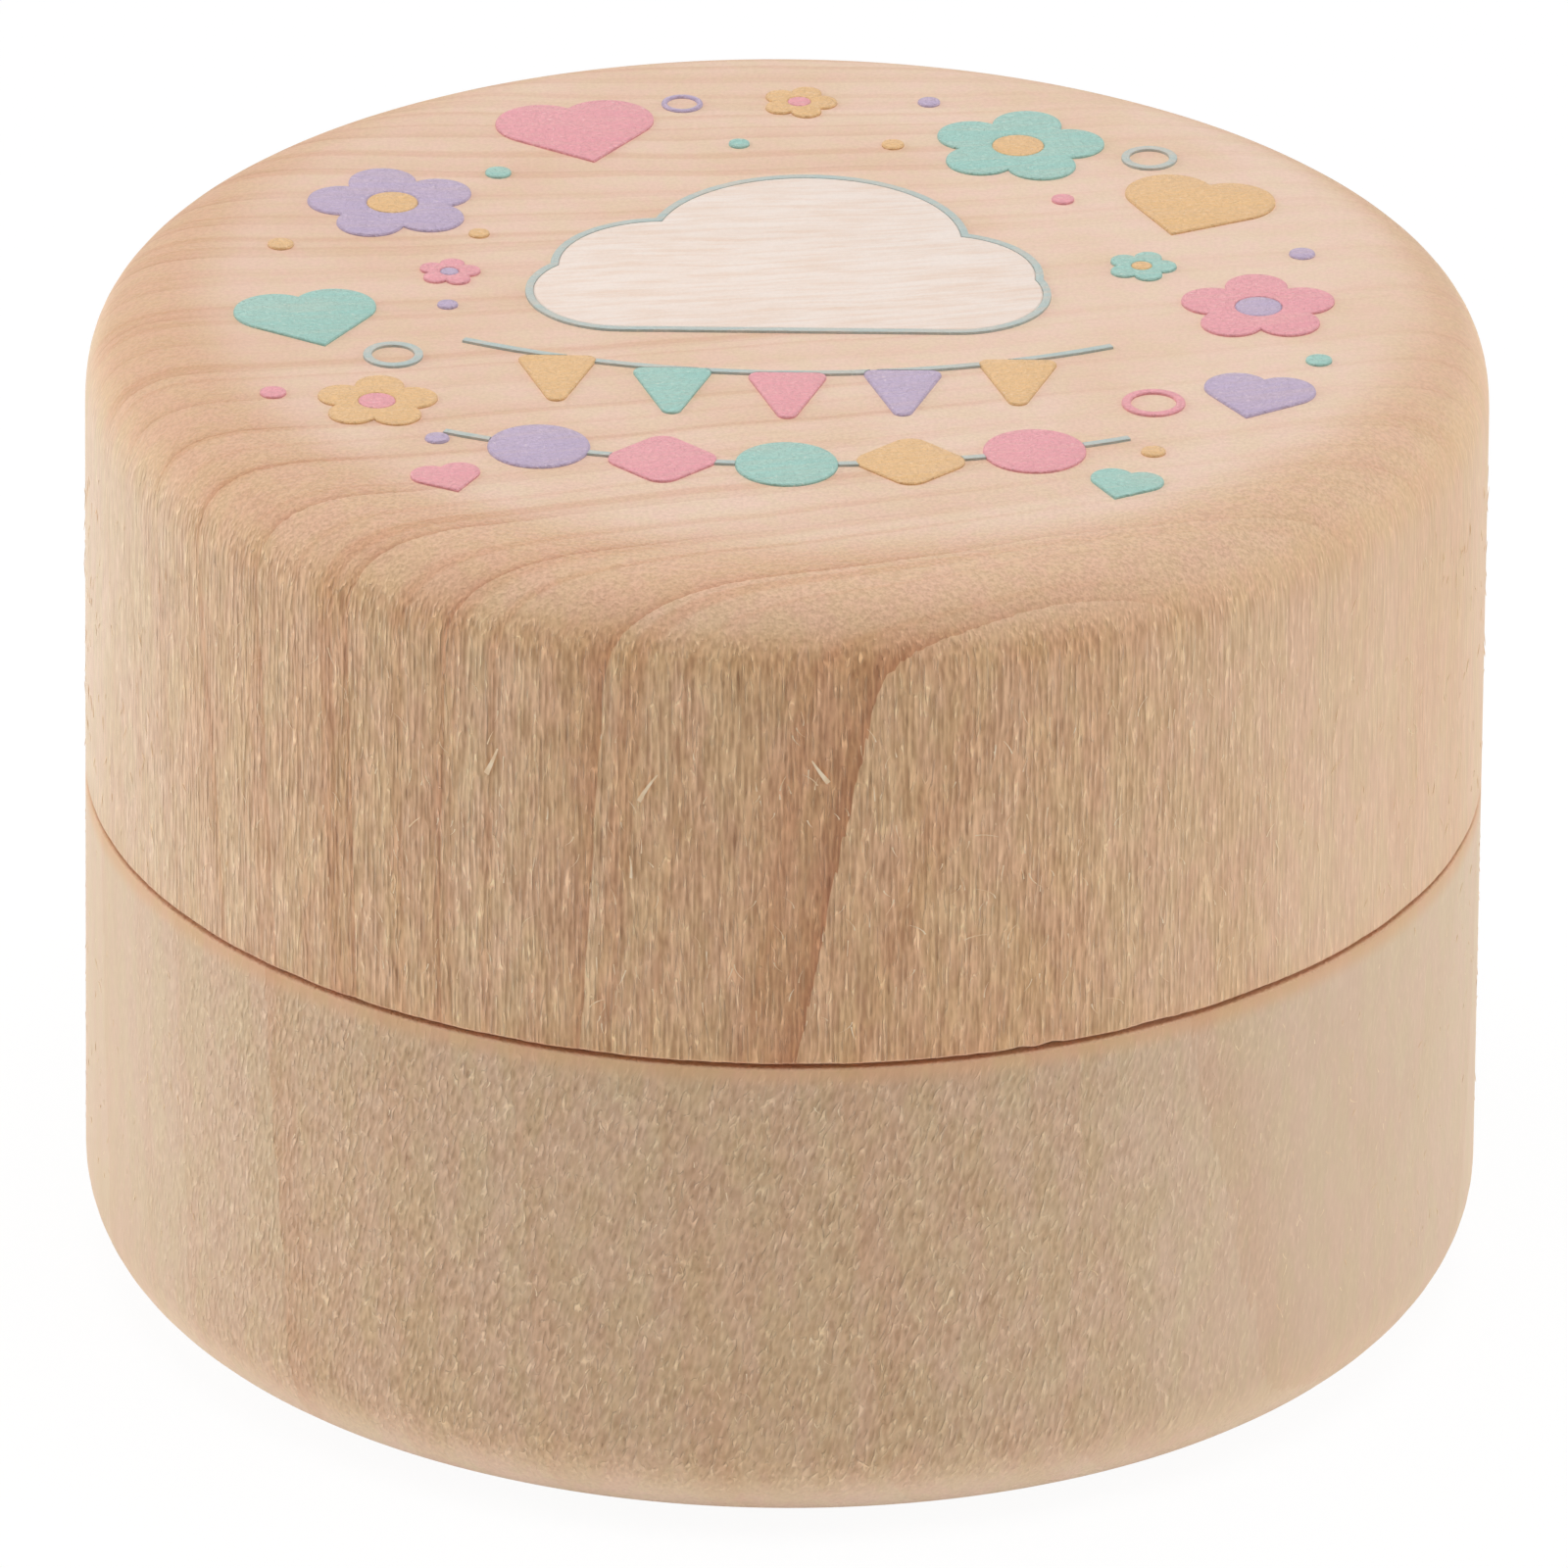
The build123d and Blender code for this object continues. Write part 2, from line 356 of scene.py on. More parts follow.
def year_lines(tree, depth, board):
    """The thin line, the soft zone, the faint weeks of growth, and how late in its year a place is."""
    marks = board["year_marks"]
    low, high = marks[0][0] - margin, marks[-1][0] + margin
    count = len(marks) + 1
    share = ramp(tree, depth, low, high, soft=False)
    stops = [(0.0, 0.0), (1.0, 1.0)]
    stops += [((mark - low) / (high - low), number / count) for number, (mark, _) in enumerate(marks, 1)]
    years = times(tree, colour_ramp(tree, share, stops), count)
    late = reckon(tree, "SUBTRACT", 1.0, reckon(tree, "FRACT", years))
    whole = reckon(tree, "DIVIDE", reckon(tree, "ADD", reckon(tree, "FLOOR", years), 0.5), count)
    levels = [(0.0, 0.0), (1.0, 0.0)]
    levels += [(number / count, strength) for number, (_, strength) in enumerate(marks, 1)]
    strength = colour_ramp(tree, whole, levels, steps=True)
    weeks = {"W": depth, "Scale": board["week_scale"], "Detail": 2.0}
    return {
        "line": times(tree, strength, reckon(tree, "POWER", late, board["line_power"])),
        "zone": times(tree, strength, reckon(tree, "POWER", late, board["zone_power"])),
        "weeks": add(tree, "TexNoise", weeks, noise_dimensions="1D"),
        "late": late,
    }


# %% [markdown]
# The lid's board has wide years that lie square to the front, so its boldest year makes an arch low on the
# front of the crown. The base is another board, its years turned by two thirds of a right angle, which is
# why the figure doesn't run on across the seam. A year mark is a depth in millimetres, and a strength.

# %% The two boards
lid_board = {
    "middle_height": 27.0, "across_years": (-0.190, 1.0, -0.173),
    "fan": (-0.0026, 0.0068, 0.0025), "lean": (0.0, -0.0091, 0.0),
    "waver_scale": (0.12, 0.12, 0.03), "waver_depth": 0.9, "ragged_depth": 0.11,
    "year_marks": [
        (-24.97, 1.00), (-21.37, 0.75), (-17.87, 0.70), (-15.07, 0.72), (-11.97, 0.65), (-9.6, 0.55),
        (-7.1, 0.60), (-5.1, 0.45), (-3.1, 0.55), (-1.2, 0.30), (0.6, 0.50), (2.7, 0.34), (4.6, 0.55),
        (6.9, 0.50), (8.6, 0.55), (10.6, 0.62), (13.1, 0.60), (15.3, 0.50), (17.5, 0.62), (19.9, 0.50),
        (22.1, 0.60), (24.6, 0.60),
    ],
    "line_power": 16.0, "zone_power": 2.6, "week_scale": 1.3,
}
base_board = {
    "middle_height": 11.0, "across_years": (0.866, -0.5, 0.075),
    "fan": (0.0, 0.0, 0.0), "lean": (0.0, 0.0, 0.0),
    "waver_scale": (0.10, 0.10, 0.03), "waver_depth": 1.2, "ragged_depth": 0.5,
    "year_marks": [
        (-22.4, 0.5), (-16.7, 0.5), (-11.0, 0.4), (-5.8, 0.9), (-0.7, 0.4), (4.6, 0.45), (9.9, 0.4),
        (15.9, 0.4), (20.7, 0.35), (24.2, 0.5),
    ],
    "line_power": 9.0, "zone_power": 2.0, "week_scale": 0.7,
}
print("years in the boards:", len(lid_board["year_marks"]), len(base_board["year_marks"]))

# %% [markdown]
# All the steps below ask how far a place faces up, how flat it lies to the years and where on the turning it
# is, so that is worked out once. Over the rounded crown the end grain of the top turns slowly into the long
# grain of the side. A disc a little behind and right of the top's middle was sanded smooth for the print. Its
# paleness, and the darker end grain round it towards the front, are also painted light and shade: the top is
# painted darker where the crown starts to turn away from the lamp above. The inside, which the tool cut
# across in fine turns, is smoother than the outer wall.

# %% Facts about a place
inside_from_to = (22.3, 22.1)
outer_wall_from_to = (24.3, 24.8)
level_from_to = (0.9, 1.0)


def facts_of_place(tree, place, look):
    """The facts by name, each as the output of a node."""
    facing = add(tree, "TexCoord", output=1)
    upward = reckon(tree, "ABSOLUTE", along(tree, facing, "Z"))
    end_grain = ramp(tree, upward, *look["end_from_to"])
    height = along(tree, place, "Z")
    level_place = add(tree, "VectorMath", {0: place, 1: (1, 1, 0)}, operation="MULTIPLY")
    reach = add(tree, "VectorMath", {0: level_place}, output=1, operation="LENGTH")
    off_disc = {0: level_place, 1: look["disc_middle"]}
    off_disc = add(tree, "VectorMath", off_disc, output=1, operation="DISTANCE")
    on_disc = ramp(tree, off_disc, *look["disc_from_to"])
    at_seam = ramp(tree, height, *look["smooth_band"])
    return {
        "x": along(tree, place, "X"), "y": along(tree, place, "Y"), "height": height, "reach": reach,
        "upward": upward,
        "flat_to_years": reckon(tree, "ABSOLUTE", dot(tree, facing, look["torn_towards"])),
        "end_grain": end_grain,
        "side": reckon(tree, "SUBTRACT", 1.0, end_grain),
        "sanded": times(tree, on_disc, ramp(tree, upward, *level_from_to)),
        "inside": ramp(tree, reach, *inside_from_to),
        "smooth_band": times(tree, at_seam, ramp(tree, reach, *outer_wall_from_to)),
    }


# %% [markdown]
# The ground goes from the side's tan over the crown's orange to the pale pink end grain of the top, by how
# far the surface faces up. Wide patches of it are warmer, one side of the board is browner, and small tints
# go to and fro between pink and straw.

# %% Ground colour
patch_from_to = (0.35, 0.7)
tint_from_to = (0.36, 0.64)
warm_from_to = (-14.0, 22.0)


def ground_colour(tree, place, facts, look):
    """The wood's colour without its years and without its grain."""
    colour = colour_ramp(tree, facts["upward"], look["ground"])
    # Painted light and shade: the pale disc, and the darker end grain round it where the crown begins.
    colour = blend(tree, facts["sanded"], colour, screen_colour(*look["disc_colour"]))
    patches = speckle(tree, place, look["patch_scale"], detail=2.0)
    patches = ramp(tree, patches, *patch_from_to, 0.0, look["patch_share"])
    colour = blend(tree, patches, colour, screen_colour(*look["patch_colour"]))
    warm_side = ramp(tree, facts["x"], *warm_from_to, 0.0, look["warm_share"], soft=False)
    colour = stained(tree, times(tree, warm_side, facts["side"]), colour, look["warm_colour"])
    brown = ramp(tree, facts["x"], *look["brown_from_to"], look["brown_share"], 0.0)
    colour = stained(tree, times(tree, brown, facts["end_grain"]), colour, look["brown_colour"])
    tint = speckle(tree, place, look["tint_scale"], detail=3.0, roughness=0.6, shift=(7, 3, 11))
    pink = stained(tree, 1.0, colour, look["tint_pink"])
    straw = stained(tree, 1.0, colour, look["tint_straw"])
    return blend(tree, ramp(tree, tint, *tint_from_to), pink, straw)


# %% [markdown]
# The years darken the ground, which is why they multiply it. They fade towards the right of the lid's board,
# and on the lid's side where it isn't flat to them. Sanding has softened the thin lines on the disc, and
# with them the sharp ends of the brown zones.

# %% Years over the ground
flat_from_to = (0.55, 0.95)
late_end_from_to = (0.82, 1.0)
late_end_lost = 0.85
week_from_to = (0.5, 0.7)


def with_years(tree, place, facts, colour, board, look):
    """The colour, darkened by zones, lines and weeks."""
    years = year_lines(tree, depth_in_tree(tree, place, board), board)
    lost = ramp(tree, facts["flat_to_years"], *flat_from_to, 1 - look["side_years"], 0.0)
    kept = reckon(tree, "SUBTRACT", 1.0, times(tree, facts["side"], lost))
    fading = ramp(tree, facts["x"], *look["fade_from_to"], 1.0, look["faded"])
    fading = times(tree, fading, kept)
    late_end = times(tree, facts["sanded"], ramp(tree, years["late"], *late_end_from_to))
    zone = times(tree, years["zone"], less_by(tree, late_end, late_end_lost))
    line = times(tree, years["line"], less_by(tree, facts["sanded"], look["sanded_lines"]))
    weeks = ramp(tree, years["weeks"], *week_from_to)
    for mark, kind, stain in ((zone, "zone", "zone"), (line, "line", "line"), (weeks, "week", "zone")):
        shown = times(tree, times(tree, mark, look[kind + "_share"]), fading)
        colour = stained(tree, shown, colour, look[stain + "_colour"])
    return colour


# %% [markdown]
# On the sides the lathe tool has torn the fibres. The faces that lie flat to the years tear most, so the
# front is rougher than the left and right. The fur comes and goes in clumps, and it stops at the seam, where
# the parting tool left a smooth band. The same share is also the mask of a painted shade between the fibres,
# so the faces that turn to the front are painted darker than the left and right.

# %% How torn a place is
clump_noise_from_to = (0.35, 0.65)
inside_smoothed = 0.8


def fur_and_shade_share(tree, place, facts, look):
    """0 where the surface is clean, about 1 where it is furry; also the mask of the painted shade between
    fibres.
    """
    torn = ramp(tree, facts["flat_to_years"], *look["torn_from_to"], look["torn_least"], 1.0)
    torn = times(tree, torn, facts["side"])
    torn = times(tree, torn, less_by(tree, facts["smooth_band"], look["band_share"]))
    torn = times(tree, torn, less_by(tree, facts["inside"], inside_smoothed))
    clumps = speckle(tree, place, look["clump_scale"], detail=1.0, shift=(9, 1, 6))
    clumps = ramp(tree, clumps, *clump_noise_from_to, *look["clump_from_to"])
    return times(tree, torn, clumps)


# %% [markdown]
# The torn fibres are fine upright grooves, with pale curled hairs and thin pits between them. A curled hair
# is the line where a stretched noise passes its middle: such lines wind up and down and never cross, as
# loose fibres do, and they stay thin where a threshold would give blots. Wider strands lie under the fur. On
# the crown and the top the same fibres are cut short and show as a fine mottle, less on the sanded disc and
# towards the back.

# %% Grooves, hairs, pits, strands and mottle
hair_room = (0.45, 0.62)
mottle_back_from_to = (-18.0, 0.0)
mottle_back_share = 0.55


def grain_parts(tree, place, facts, look):
    """The parts of the grain by name."""
    leaned = add(tree, "Mapping", {0: place, "Rotation": (0, math.radians(look["fibre_lean"]), 0)})
    long_grooves = speckle(tree, leaned, look["groove_scale"], detail=0.0)
    short_grooves = speckle(tree, leaned, look["tuft_scale"], detail=0.5, distortion=0.3, shift=(2, 8, 4))
    grooves = add(tree, "Mix", {0: look["tuft_share"], 2: long_grooves, 3: short_grooves}, data_type="FLOAT")
    winding = speckle(tree, leaned, look["hair_scale"], detail=1.0, distortion=0.3)
    off_middle = reckon(tree, "ABSOLUTE", reckon(tree, "SUBTRACT", winding, 0.5))
    hairs = ramp(tree, off_middle, 0.0, look["hair_width"], 1.0, 0.0)
    pits = speckle(tree, leaned, look["pit_scale"], detail=0.5, distortion=0.2, shift=(5, 9, 2))
    cut_short = times(tree, facts["end_grain"], less_by(tree, facts["sanded"], 1 - look["sanded_mottle"]))
    towards_back = ramp(tree, facts["y"], *mottle_back_from_to, 1.0, mottle_back_share)
    return {
        "grooves": grooves,
        "hairs": times(tree, hairs, ramp(tree, grooves, *hair_room)),
        "pits": ramp(tree, pits, *look["pit_from_to"], 1.0, 0.0),
        "strands": speckle(tree, place, look["strand_scale"], detail=3.0, roughness=0.65),
        "mottle": speckle(tree, place, look["mottle_scale"], detail=1.5, roughness=0.7),
        "cut_short": times(tree, cut_short, towards_back),
    }


# %% [markdown]
# All of these push one number up or down, the grain, and one pair of factors turns it into colour. The dark
# side is partly the wood's own colour and partly painted shade in the grooves and pits, and the pale side
# partly painted highlight on the curled hairs. A plain darker and lighter would look like dirt and chalk:
# between fibres light bounces from wood to wood and loses more blue than red each time, so the dark factors
# are redder and the pale ones closer to straw.

# %% Grain as colour
# The factors hold the grain's own colour, with painted shade on the dark side and painted highlight on the
# pale.
deep_grain_and_shade = (0.27, 0.11, 0.0)
pale_grain_and_highlight = (1.73, 1.89, 2.0)


def swing(tree, noise_value, share, soft=True):
    """A noise as a number that goes as far as the share to either side of zero."""
    return ramp(tree, noise_value, *most_of_noise, -share, share, soft=soft)


def with_grain(tree, facts, parts, torn, colour, look):
    """The colour, made deeper and paler by the grain and by its painted shade and highlight."""
    grain = swing(tree, parts["grooves"], look["groove_share"], soft=False)
    grain = times_plus(tree, parts["hairs"], look["hair_share"], grain)
    grain = times_plus(tree, parts["pits"], -look["pit_share"], grain)
    grain = times(tree, grain, torn)
    strands = swing(tree, parts["strands"], look["strand_share"])
    grain = reckon(tree, "ADD", grain, times(tree, strands, facts["side"]))
    mottle = swing(tree, parts["mottle"], look["mottle_share"])
    grain = reckon(tree, "ADD", grain, times(tree, mottle, parts["cut_short"]))
    share = times_plus(tree, grain, 0.5, 0.5)
    factors = add(tree, "Mix", {0: share, 4: deep_grain_and_shade, 5: pale_grain_and_highlight}, output=1, data_type="VECTOR")
    return add(tree, "VectorMath", {0: colour, 1: factors}, operation="MULTIPLY")


# %% [markdown]
# The relief is a bump, because its ridges are a tenth of a millimetre apart, far finer than the mesh. Inside,
# the tool's feed leaves faint rings, a third of a millimetre apart.

# %% Relief
tool_feed = 0.35
tool_mark_rise = 0.006


def relief_of(tree, facts, parts, torn, look):
    """The height of the surface in millimetres."""
    relief = times(tree, parts["grooves"], look["groove_rise"])
    relief = times_plus(tree, parts["hairs"], look["hair_rise"], relief)
    relief = times_plus(tree, parts["pits"], -look["pit_sink"], relief)
    relief = times(tree, relief, torn)
    mottle = times(tree, parts["mottle"], parts["cut_short"])
    relief = times_plus(tree, mottle, look["mottle_rise"], relief)
    travel = reckon(tree, "ADD", facts["reach"], facts["height"])
    waves = reckon(tree, "SINE", times(tree, travel, math.tau / tool_feed))
    off_disc = reckon(tree, "SUBTRACT", 1.0, facts["sanded"])
    tool_marks = times(tree, times(tree, waves, facts["inside"]), off_disc)
    return times_plus(tree, tool_marks, tool_mark_rise, relief)


# %% [markdown]
# Now the steps are put together. Where the fibres are torn the wood is made deeper and warmer: partly the
# fur's own colour, and partly painted shade between the fibres, which keeps the front darker than the rims.
# The smooth band at the seam has a tint of its own. The fuzz catches light at a glancing angle, which is the
# shader's sheen.

# %% Bare turned wood
def bare_wood(name, board, look):
    """The material of one turning."""
    material, tree, place = fresh_material(name)
    facts = facts_of_place(tree, place, look)
    colour = ground_colour(tree, place, facts, look)
    colour = with_years(tree, place, facts, colour, board, look)
    torn = fur_and_shade_share(tree, place, facts, look)
    # Painted shade: the torn fibres' deeper, warmer colour, strongest on the faces that turn to the front.
    colour = stained(tree, torn, colour, look["torn_shade_colour"])
    parts = grain_parts(tree, place, facts, look)
    colour = with_grain(tree, facts, parts, torn, colour, look)
    colour = stained(tree, facts["smooth_band"], colour, look["band_colour"])
    relief = relief_of(tree, facts, parts, torn, look)
    surface = add(tree, "BsdfPrincipled", {
        "Base Color": colour, "Roughness": 0.72, "Specular IOR Level": 0.3, "Sheen Weight": 0.45,
        "Sheen Roughness": 0.45, "Sheen Tint": screen_colour(255, 238, 216), "Normal": bumped(tree, relief),
    })
    add(tree, "OutputMaterial", {0: surface})
    print(name, "has", len(tree.nodes), "nodes")
    return material


# %% [markdown]
# The two turnings differ in two tables; the base's holds only what it doesn't share with the lid's. Scales
# are cycles in a millimetre along X, Y and Z, so a small last number makes long upright fibres; those of the
# base are shorter and lean a little. Shares go from 0 to 1, colours are read off a screen, and rises, and
# the places of the disc, the band and the fading, are in millimetres.

# %% The lid's wood
lid_look = {
    "ground": [
        (0.0, (238, 217, 196)), (1.0, (230, 193, 164)),
        (0.22, (237, 211, 184)), (0.50, (233, 200, 168)), (0.80, (228, 191, 161)),
    ],
    # The disc's colour is partly sanded wood and partly painted light on the top.
    "disc_middle": (0.8, 1.8, 0.0), "disc_from_to": (23.2, 20.2), "disc_colour": (240, 212, 193),
    "end_from_to": (0.10, 0.80),
    "patch_scale": (0.16, 0.16, 0.05), "patch_share": 0.25, "patch_colour": (222, 182, 144),
    "warm_share": 1.0, "warm_colour": (254, 242, 230),
    "brown_from_to": (-26.0, 4.0), "brown_share": 0.35, "brown_colour": (242, 226, 214),
    "tint_scale": (0.9, 0.9, 0.30), "tint_pink": (255, 250, 251), "tint_straw": (252, 253, 246),
    "fade_from_to": (1.0, 13.0), "faded": 0.34, "side_years": 0.20, "sanded_lines": 0.55,
    "zone_colour": (226, 184, 152), "zone_share": 0.34,
    "line_colour": (200, 146, 116), "line_share": 0.50, "week_share": 0.26,
    "torn_towards": (-0.25, -0.97, 0.0), "torn_from_to": (0.28, 0.98), "torn_least": 0.22,
    # torn_shade_colour is the fur's own colour and a painted shade between the fibres.
    "torn_shade_colour": (244, 225, 202), "fibre_lean": 0.0,
    "smooth_band": (19.0, 18.78), "band_share": 0.3, "band_colour": (246, 214, 190),
    "clump_scale": (0.9, 0.9, 0.35), "clump_from_to": (0.94, 1.05),
    "strand_scale": (2.0, 2.0, 0.30), "strand_share": 0.03,
    "groove_scale": (9.2, 9.2, 0.66), "groove_share": 0.38, "groove_rise": 0.13,
    "tuft_scale": (9.0, 9.0, 2.2), "tuft_share": 0.38,
    "hair_scale": (3.8, 3.8, 0.70), "hair_width": 0.06, "hair_share": 0.56, "hair_rise": 0.05,
    "pit_scale": (9.0, 9.0, 1.0), "pit_from_to": (0.24, 0.34), "pit_share": 0.18, "pit_sink": 0.02,
    "mottle_scale": (6.0, 6.0, 6.0), "mottle_share": 0.13, "mottle_rise": 0.08, "sanded_mottle": 0.6,
}
lid_wood = bare_wood("lid_wood", lid_board, lid_look)

# %% The base's wood
base_look = dict(lid_look)
base_look.update({
    # The base's ground grows paler as the foot turns down to the table: partly its end grain, and partly
    # painted light thrown up from the table onto the foot.
    "ground": [
        (0.0, (226, 202, 177)), (1.0, (240, 214, 190)),
        (0.40, (234, 208, 182)), (0.80, (242, 218, 196)),
    ],
    "disc_colour": (238, 206, 180),
    "patch_scale": (0.14, 0.14, 0.05), "patch_share": 0.20, "patch_colour": (226, 192, 158),
    "warm_share": 0.0, "brown_share": 0.0,
    "fade_from_to": (30.0, 31.0), "faded": 1.0, "side_years": 1.0,
    "zone_colour": (232, 200, 172), "zone_share": 0.22,
    "line_colour": (230, 194, 166), "line_share": 0.15, "week_share": 0.08,
    "torn_towards": (-0.2, -0.98, 0.0), "torn_from_to": (0.45, 0.97), "torn_least": 0.10,
    # torn_shade_colour is the fur's own colour and a painted shade between the fibres.
    "torn_shade_colour": (247, 236, 223), "fibre_lean": -14.0,
    "smooth_band": (17.75, 18.55), "band_share": 0.85, "band_colour": (255, 236, 216),
    "clump_scale": (0.9, 0.9, 0.8), "clump_from_to": (0.82, 1.10),
    "strand_scale": (1.5, 1.5, 0.4), "strand_share": 0.025,
    "groove_scale": (7.4, 7.4, 1.9), "groove_share": 0.26, "groove_rise": 0.12,
    "tuft_scale": (6.8, 6.8, 2.8), "tuft_share": 0.5,
    "hair_scale": (3.2, 3.2, 1.2), "hair_width": 0.07, "hair_share": 0.42,
    "pit_scale": (7.5, 7.5, 2.6), "pit_share": 0.15,
    "mottle_share": 0.06,
})
base_wood = bare_wood("base_wood", base_board, base_look)

# %% [markdown]
# ## The lid
#
# The lid's upper edge is sanded soft: it starts 4.6 mm in from the side and ends 3.7 mm down, and it is
# fuller than a quarter circle. A vertex bevel takes the same off both edges, so the outline is stretched
# upwards first, bevelled, and pressed back.

# %% Turn the lid
crown_fullness = 0.634
crown_stretch = crown_inset / crown_drop


def stretch_heights(outline, share, level):
    """Scales the outline's heights about a level."""
    bmesh.ops.scale(outline, vec=(1, 1, share), space=Matrix.Translation((0, 0, -level)), verts=outline.verts)


lid_shape = chain([
    (0, lid_top), (outer_radius, lid_top), (outer_radius, lid_bottom), (socket_radius, lid_bottom),
    (socket_radius, spigot_top), (hollow_radius, spigot_top), (hollow_radius, hollow_ceiling),
    (0, hollow_ceiling),
])
stretch_heights(lid_shape, crown_stretch, lid_top)
round_corner(lid_shape, outer_radius, lid_top, crown_inset, 20, fullness=crown_fullness)
stretch_heights(lid_shape, 1 / crown_stretch, lid_top)
round_corner(lid_shape, outer_radius, lid_bottom, lip_rounding, 3)
round_corner(lid_shape, socket_radius, lid_bottom, socket_lead_in, 1)
round_corner(lid_shape, hollow_radius, hollow_ceiling, hollow_ceiling_rounding, 6)
divide_outline(lid_shape, row_spacing)
turn(lid_shape)
print("the lid's skin has", len(lid_shape.faces), "faces")

# %% [markdown]
# The lid's lower edge is a little ragged where the parting tool left the fibres: it wavers by a few
# hundredths of a millimetre, and small chips are missing, most of them towards the right. An outline is the
# same all round, so the vertices of the turned lip are moved up, by a smooth noise and by a soft hump at each
# chip. A chip is its azimuth in degrees, its size in millimetres and its width in degrees; 0 is the front
# and 90 the right.

# %% Wavering lower edge
chips = [
    (22.5, 0.10, 0.9), (19.5, 0.05, 0.6), (31.0, 0.05, 2.0), (43.0, 0.04, 1.6), (-37.0, 0.04, 0.8),
    (141.0, 0.07, 0.8),
]
raggedness = 0.035 * MM
lip_height = lid_bottom + lip_rounding * 1.2
lip_reach = outer_radius - 2 * lip_rounding


def lip_lift(azimuth):
    """How far the lid's lower edge is worn up at an azimuth."""
    round_trip = Vector((math.cos(math.radians(azimuth)), math.sin(math.radians(azimuth)), 0))
    slow, fast = noise.noise(round_trip * 14), noise.noise(round_trip * 60)
    lift = raggedness * max(0.0, 0.4 + slow + 0.6 * fast)
    for middle, size, width in chips:
        away = (azimuth - middle) / width
        lift += size * MM * math.exp(-away * away)
    return lift


lip_vertices = [v for v in lid_shape.verts if v.co.z < lip_height and v.co.xy.length > lip_reach]
for vertex in lip_vertices:
    vertex.co.z += lip_lift(math.degrees(math.atan2(vertex.co.x, -vertex.co.y)))
print(len(lip_vertices), "vertices of the lip wavered")
lid = finish_piece(lid_shape, "turned_lid", "lid", [lid_wood], ["lid"])

# %% [markdown]
# ## The base
#
# The same steps make the base: a rounded foot, a small eased shoulder under the seam, the spigot with its
# lead-in, and the hollow with a soft corner at its floor.

# %% Turn the base
base_shape = chain([
    (0, base_floor), (outer_radius, base_floor), (outer_radius, shoulder_height),
    (spigot_radius, shoulder_height), (spigot_radius, spigot_top), (hollow_radius, spigot_top),
    (hollow_radius, hollow_floor), (0, hollow_floor),
])
for radius, height, size, steps in (
    (outer_radius, base_floor, foot_rounding, 14), (outer_radius, shoulder_height, shoulder_rounding, 5),
    (spigot_radius, spigot_top, spigot_lead_in, 1), (hollow_radius, spigot_top, rim_rounding, 4),
    (hollow_radius, hollow_floor, hollow_floor_rounding, 8),
):
    round_corner(base_shape, radius, height, size, steps)
divide_outline(base_shape, row_spacing)
turn(base_shape)
base = finish_piece(base_shape, "turned_base", "base", [base_wood], ["base"])

# %% [markdown]
# ## Loose fibres
#
# Turning tears some fibres loose, and they stand off the sides as pale slivers and hairs. A bump can't show
# them, because they rise over the surface and throw a shadow, so they are real pieces. One fibre is a
# thin three-sided cone, cut into four lengths and bent. There are two thousand, so each has few faces.

# %% One fibre
root_depth = 0.01 * MM


def one_fibre(length, thickness, curl):
    """The mesh of one bent, tapering fibre with its root at the origin."""
    shape = bmesh.new()
    bmesh.ops.create_cone(
        shape, cap_ends=True, cap_tris=True, segments=3, radius1=thickness / 2, radius2=thickness / 7,
        depth=length, matrix=Matrix.Translation((0, 0, length / 2)),
    )
    upright = [edge for edge in shape.edges if abs(edge.verts[0].co.z - edge.verts[1].co.z) > length / 2]
    bmesh.ops.subdivide_edges(shape, edges=upright, cuts=3)
    for vertex in shape.verts:
        vertex.co.x += curl * vertex.co.z ** 2 / length
    return mesh_from(shape, "fibre")


def lie_on_side(mesh, azimuth, height, lean, lift):
    """Moves a fibre to the side of the box; it leans in the surface and lifts off it, in degrees."""
    place = Matrix.Rotation(math.radians(azimuth), 4, "Z")
    place = place @ Matrix.Translation((0, root_depth - outer_radius, height))
    place = place @ Matrix.Rotation(math.radians(lean), 4, "Y")
    mesh.transform(place @ Matrix.Rotation(math.radians(lift), 4, "X"))


# %% [markdown]
# A few long slivers lie at places of their own, and a seeded generator strews the short hairs, so that they
# are the same each run. The hairs point up or down and lean only a little, because they are torn from
# upright wood. A fibre is a row of azimuth, height, length, thickness, lean, lift and curl.

# %% Many fibres as one piece
hair_thicknesses = (0.04, 0.065)
hair_lean, hair_curl = 9, 0.45
hair_lifts = (1, 8)


def short_hairs(count, heights, lengths, seed):
    """Rows for hairs at random places."""
    chance = random.Random(seed)
    rows = []
    for _ in range(count):
        heading = chance.choice((0, 180))
        rows.append((
            chance.uniform(-180, 180), chance.uniform(*heights), chance.uniform(*lengths) * MM,
            chance.uniform(*hair_thicknesses) * MM, heading + chance.gauss(0, hair_lean),
            chance.uniform(*hair_lifts), chance.gauss(0, hair_curl),
        ))
    return rows


def loose_fibres(name, body, material, rows):
    """One piece that holds all loose fibres of one turning."""
    gathered = bmesh.new()
    for azimuth, height, length, thickness, lean, lift, curl in rows:
        mesh = one_fibre(length, thickness, curl)
        lie_on_side(mesh, azimuth, height, lean, lift)
        gathered.from_mesh(mesh)
        bpy.data.meshes.remove(mesh)
    bmesh.ops.recalc_face_normals(gathered, faces=gathered.faces)
    return finish_piece(gathered, name, body, [material])


# %% [markdown]
# Bare fibre is paler than the wood that it is torn from, straw with duller stretches. It needs no figure,
# because each fibre is thinner than a year line.

